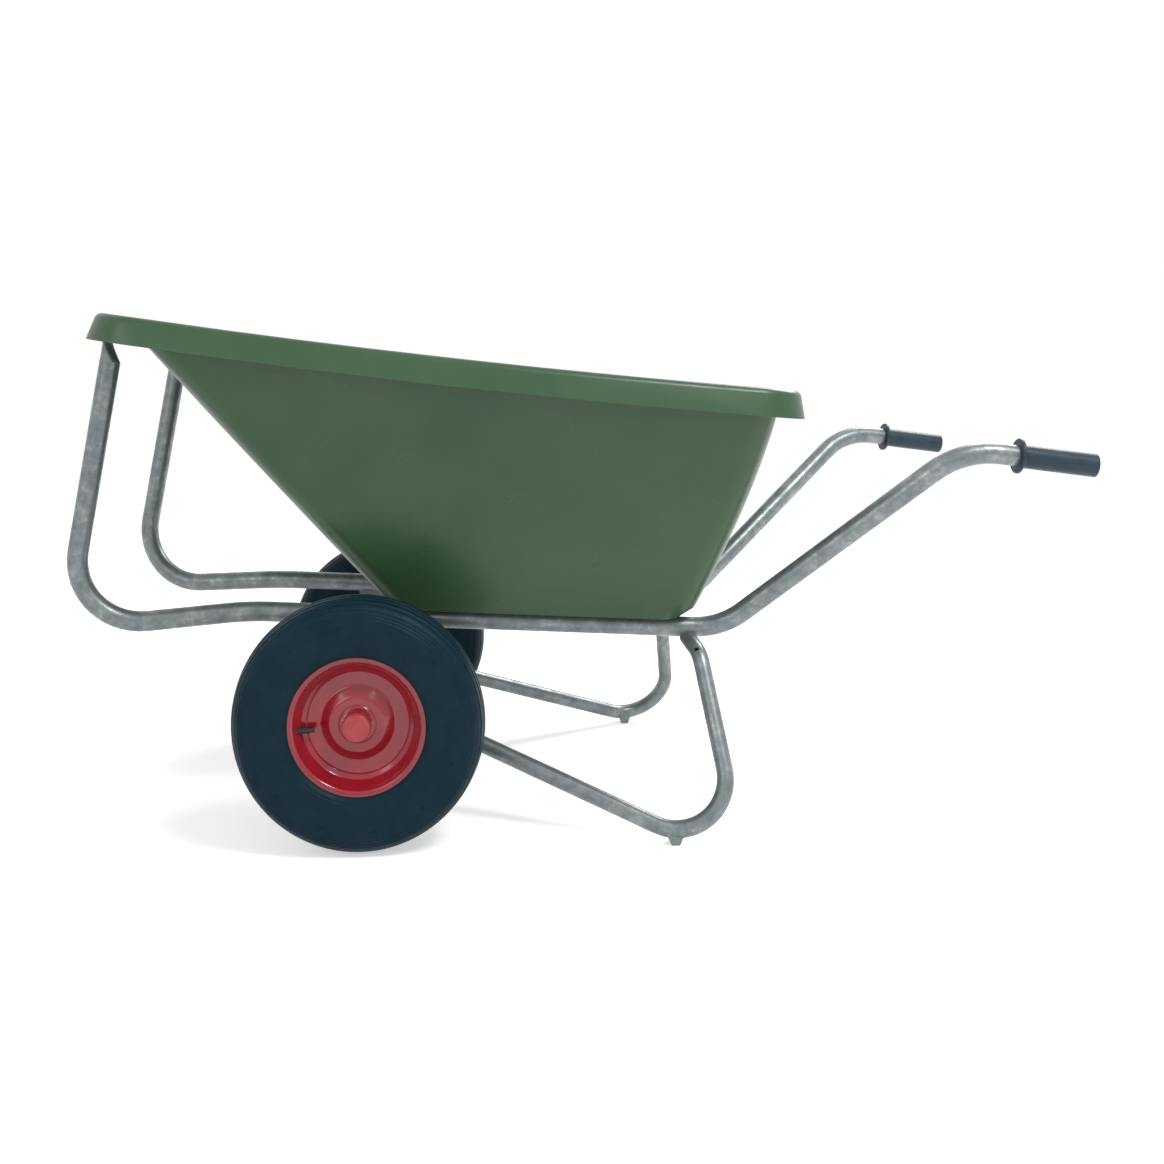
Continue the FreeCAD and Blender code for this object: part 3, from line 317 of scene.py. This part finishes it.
def lathe(name, outline, centre, side, steps=144):
    """A ring turned about the axle from a closed outline of (radius, outwards) points."""
    mesh = bpy.data.meshes.new(name)
    points = []
    for step in range(steps):
        angle = 2 * math.pi * step / steps
        across = Vector((math.cos(angle), 0, math.sin(angle)))
        points += [centre + across * radius + Vector((0, side * out, 0)) for radius, out in outline]
    count = len(outline)
    faces = []
    for step in range(steps):
        here, there = step * count, (step + 1) % steps * count
        for index in range(count):
            after = (index + 1) % count
            face = (here + index, here + after, there + after, there + index)
            faces.append(face if side < 0 else face[::-1])
    mesh.from_pydata(points, [], faces)
    built = bmesh.new()
    built.from_mesh(mesh)
    bmesh.ops.recalc_face_normals(built, faces=built.faces)
    built.to_mesh(mesh)
    built.free()
    return mesh


# ---------------------------------------------------------------- tub

def make_tub():
    """The tub with its edges eased, as a moulding has them."""
    mesh = frame["nodes"]["tub"].data.copy()
    mesh.name = "tub_moulding"
    built = bmesh.new()
    built.from_mesh(mesh)
    bmesh.ops.remove_doubles(built, verts=built.verts, dist=0.00002)
    bmesh.ops.dissolve_limit(built, angle_limit=math.radians(0.6), verts=built.verts, edges=built.edges)
    built.to_mesh(mesh)
    built.free()
    piece = new_piece("tub_moulding", mesh, "tub_plastic", "root", "tub_plastic", "tub")
    bevel = piece.modifiers.new("eased", "BEVEL")
    bevel.width = 0.0016
    bevel.segments = 3
    bevel.limit_method = "ANGLE"
    bevel.angle_limit = math.radians(38)
    bevel.harden_normals = False
    smooth_by_angle(mesh, 38)
    return piece


# ---------------------------------------------------------------- wheels

TYRE_RADIUS = 0.200
RING_HEIGHT = 0.0009
SIDEWALL_RINGS = (0.1135, 0.1185, 0.1700, 0.1745, 0.1790, 0.1835)
TREAD_GROOVES = (-0.0325, -0.0195, -0.0065, 0.0065, 0.0195, 0.0325)
GROOVE_DEPTH = 0.0042
GROOVE_WIDTH = 0.0016


def tyre_outline():
    """Section of the tyre from one bead over the tread to the other, and back inside."""
    bead = [(0.1065, 0.0335), (0.1100, 0.0395), (0.1150, 0.0425), (0.1300, 0.0475), (0.1500, 0.0500),
            (0.1700, 0.0485), (0.1820, 0.0455), (0.1885, 0.0405), (0.1935, 0.0330), (0.1975, 0.0200)]
    half = rounded(bead + [(TYRE_RADIUS, 0.0)], 0.008, 4)
    fine = []
    for here, there in zip(half, half[1:]):
        count = max(1, int((there - here).length / 0.0007))
        fine += [here.lerp(there, step / count) for step in range(count)]
    fine.append(half[-1])
    side = [relieved(point, after - before) for before, point, after in zip(fine, fine[1:], fine[2:])]
    whole = side + [Vector((point.x, -point.y)) for point in side[::-1]]
    inside = [(0.1080, -0.0290), (0.1500, -0.0430), (0.1780, -0.0380), (0.1880, -0.0200),
              (0.1900, 0.0), (0.1880, 0.0200), (0.1780, 0.0380), (0.1500, 0.0430), (0.1080, 0.0290)]
    return whole + [Vector(point) for point in inside]


def relieved(point, along):
    """A point of the tyre's section, raised at a sidewall ring and sunk in a tread groove."""
    outwards = Vector((along.y, -along.x)).normalized()
    if outwards.y < 0 and point.x < 0.19:
        outwards = -outwards
    lift = 0.0
    if point.x < 0.186:
        for ring in SIDEWALL_RINGS:
            lift += RING_HEIGHT * math.exp(-((point.x - ring) / 0.0008) ** 2)
        return point + Vector((0, 1)) * lift
    for groove in TREAD_GROOVES:
        lift -= GROOVE_DEPTH * math.exp(-((point.y - groove) / GROOVE_WIDTH) ** 4)
    return point + Vector((1, 0)) * lift


def add_mould_marks(mesh, centre, side):
    """Twelve small raised bars with bevelled edges on the outer sidewall."""
    built = bmesh.new()
    built.from_mesh(mesh)
    for index in range(12):
        angle = 2 * math.pi * (index + 0.3) / 12
        turn = Matrix.Rotation(-angle, 4, "Y")
        place = Matrix.Translation(centre + Vector((0, side * 0.0497, 0))) @ turn
        place = place @ Matrix.Translation((0.158, 0, 0)) @ Matrix.Diagonal((0.0022, 0.0022, 0.0065, 1))
        made = bmesh.ops.create_cube(built, size=1.0, matrix=place)
        edges = {edge for vert in made["verts"] for edge in vert.link_edges}
        bmesh.ops.bevel(built, geom=list(edges), offset=0.0005, segments=2, affect="EDGES")
    built.to_mesh(mesh)
    built.free()


def rim_line():
    """The outer half rim's face, from the rolled flange in to the hub."""
    return rounded([(0.1035, 0.0352), (0.1090, 0.0352), (0.1100, 0.0330), (0.1085, 0.0318), (0.1020, 0.0322),
                    (0.0996, 0.0290), (0.0985, 0.0240), (0.0945, 0.0170), (0.0900, 0.0100), (0.0820, 0.0045),
                    (0.0805, 0.0022), (0.0580, 0.0022), (0.0420, 0.0141), (0.0290, 0.0141),
                    (0.0270, 0.0165), (0.0243, 0.0165)], 0.0030, 4)


def make_wheel(name, side):
    low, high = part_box("tyre_" + name)
    centre = (low + high) / 2
    body = "wheel_" + name
    tyre = lathe("tyre_moulding_" + name, tyre_outline(), centre, side, 168)
    smooth_by_angle(tyre, 60)
    add_mould_marks(tyre, centre, side)
    new_piece("tyre_moulding_" + name, tyre, "tyre_rubber", body, "tyre_rubber", "tyre_" + name)
    rim = lathe("rim_pressing_" + name, thick_line(rim_line()[::-1], 0.0018), centre, side)
    smooth_by_angle(rim, 50)
    new_piece("rim_pressing_" + name, rim, "rim_paint", body, "rim_paint", "rim_outer_" + name)


# ---------------------------------------------------------------- welds

def weld_bead(name, centre, axis, radius, thick):
    """A lumpy ring of weld round a tube's end."""
    turn = Vector((0, 0, 1)).rotation_difference(axis).to_matrix()
    mesh = bpy.data.meshes.new(name)
    points, faces = [], []
    steps, around = 72, 8
    for step in range(steps):
        angle = 2 * math.pi * step / steps
        lump = thick * (1 + 0.22 * math.sin(step * 2.6) + 0.1 * math.sin(step * 1.3 + 1))
        for index in range(around):
            turned = 2 * math.pi * index / around
            reach = radius + lump * math.cos(turned)
            spot = Vector((reach * math.cos(angle), reach * math.sin(angle), lump * math.sin(turned)))
            points.append(centre + turn @ spot)
    for step in range(steps):
        here, there = step * around, (step + 1) % steps * around
        for index in range(around):
            after = (index + 1) % around
            faces.append((here + index, there + index, there + after, here + after))
    mesh.from_pydata(points, [], faces)
    smooth_by_angle(mesh, 80)
    new_piece(name, mesh, "galvanised_tube", "root", "galvanised_tube")


# ---------------------------------------------------------------- stage

CAMERA_PLACE = Vector((-0.1373, -2.250, 0.7339))
FOCAL_SHARE = 1.04983
AXIS_RIGHT = 0.0876
AXIS_DOWN = 0.1744
CAMERA_ROLL = math.radians(-1.5)


def make_camera():
    data = bpy.data.cameras.new("camera")
    data.sensor_width = 36.0
    data.lens = data.sensor_width * FOCAL_SHARE
    data.shift_x = AXIS_RIGHT
    data.shift_y = -AXIS_DOWN
    camera = bpy.data.objects.new("camera", data)
    turn = Matrix.Rotation(math.radians(90), 4, "X") @ Matrix.Rotation(CAMERA_ROLL, 4, "Z")
    camera.matrix_world = Matrix.Translation(CAMERA_PLACE) @ turn
    bpy.context.scene.collection.objects.link(camera)
    bpy.context.scene.camera = camera


def make_lamp(name, place, aim, size, power):
    data = bpy.data.lights.new(name, "AREA")
    data.shape = "SQUARE"
    data.size = size
    data.energy = power
    lamp = bpy.data.objects.new(name, data)
    lamp.location = place
    lamp.rotation_euler = (Vector(aim) - Vector(place)).to_track_quat("-Z", "Y").to_euler()
    bpy.context.scene.collection.objects.link(lamp)


def seen_directly(tree):
    """1 for the rays that show a background: from the camera, off gloss and through glass."""
    path = tree.nodes.new("ShaderNodeLightPath")
    total = path.outputs["Is Camera Ray"]
    for name in ("Is Glossy Ray", "Is Transmission Ray"):
        add = tree.nodes.new("ShaderNodeMath")
        add.operation = "MAXIMUM"
        tree.links.new(total, add.inputs[0])
        tree.links.new(path.outputs[name], add.inputs[1])
        total = add.outputs[0]
    return total


def make_world(level):
    world = bpy.data.worlds.new("studio")
    bpy.context.scene.world = world
    world.use_nodes = True
    tree = world.node_tree
    background = tree.nodes["Background"]
    background.inputs["Color"].default_value = (1, 1, 1, 1)
    scale = tree.nodes.new("ShaderNodeMapRange")
    tree.links.new(seen_directly(tree), scale.inputs["Value"])
    scale.inputs["To Min"].default_value = level
    scale.inputs["To Max"].default_value = 1.0
    tree.links.new(scale.outputs["Result"], background.inputs["Strength"])


def make_floor(reach, glow):
    """A wide pale floor that keeps the object's shadow and otherwise meets the white backdrop."""
    mesh = bpy.data.meshes.new("floor")
    corners = [(-reach, -reach, 0), (reach, -reach, 0), (reach, reach, 0), (-reach, reach, 0)]
    mesh.from_pydata(corners, [], [(0, 1, 2, 3)])
    floor = bpy.data.objects.new("floor", mesh)
    bpy.context.scene.collection.objects.link(floor)
    material = bpy.data.materials.new("floor")
    material.use_nodes = True
    tree = material.node_tree
    shader = tree.nodes["Principled BSDF"]
    shader.inputs["Base Color"].default_value = (0.9, 0.9, 0.9, 1)
    shader.inputs["Roughness"].default_value = 0.9
    shader.inputs["Specular IOR Level"].default_value = 0.1
    shader.inputs["Emission Color"].default_value = (1, 1, 1, 1)
    scale = tree.nodes.new("ShaderNodeMath")
    scale.operation = "MULTIPLY"
    tree.links.new(seen_directly(tree), scale.inputs[0])
    scale.inputs[1].default_value = glow
    tree.links.new(scale.outputs[0], shader.inputs["Emission Strength"])
    mesh.materials.append(material)


def make_stage():
    bpy.context.scene.view_settings.view_transform = "Standard"
    make_camera()
    make_world(0.55)
    make_floor(30.0, 0.5)
    make_lamp("key", (1.3, -1.7, 2.9), (0, 0, 0.4), 0.9, 54)
    make_lamp("fill", (-2.2, -2.6, 1.8), (0, 0, 0.4), 1.6, 14)
    make_lamp("back", (1.9, 2.0, 2.6), (0.2, 0, 0.5), 1.2, 64)


make_stage()
dress_cad_nodes()
make_tub()
for name, side in SIDES.items():
    make_wheel(name, side)
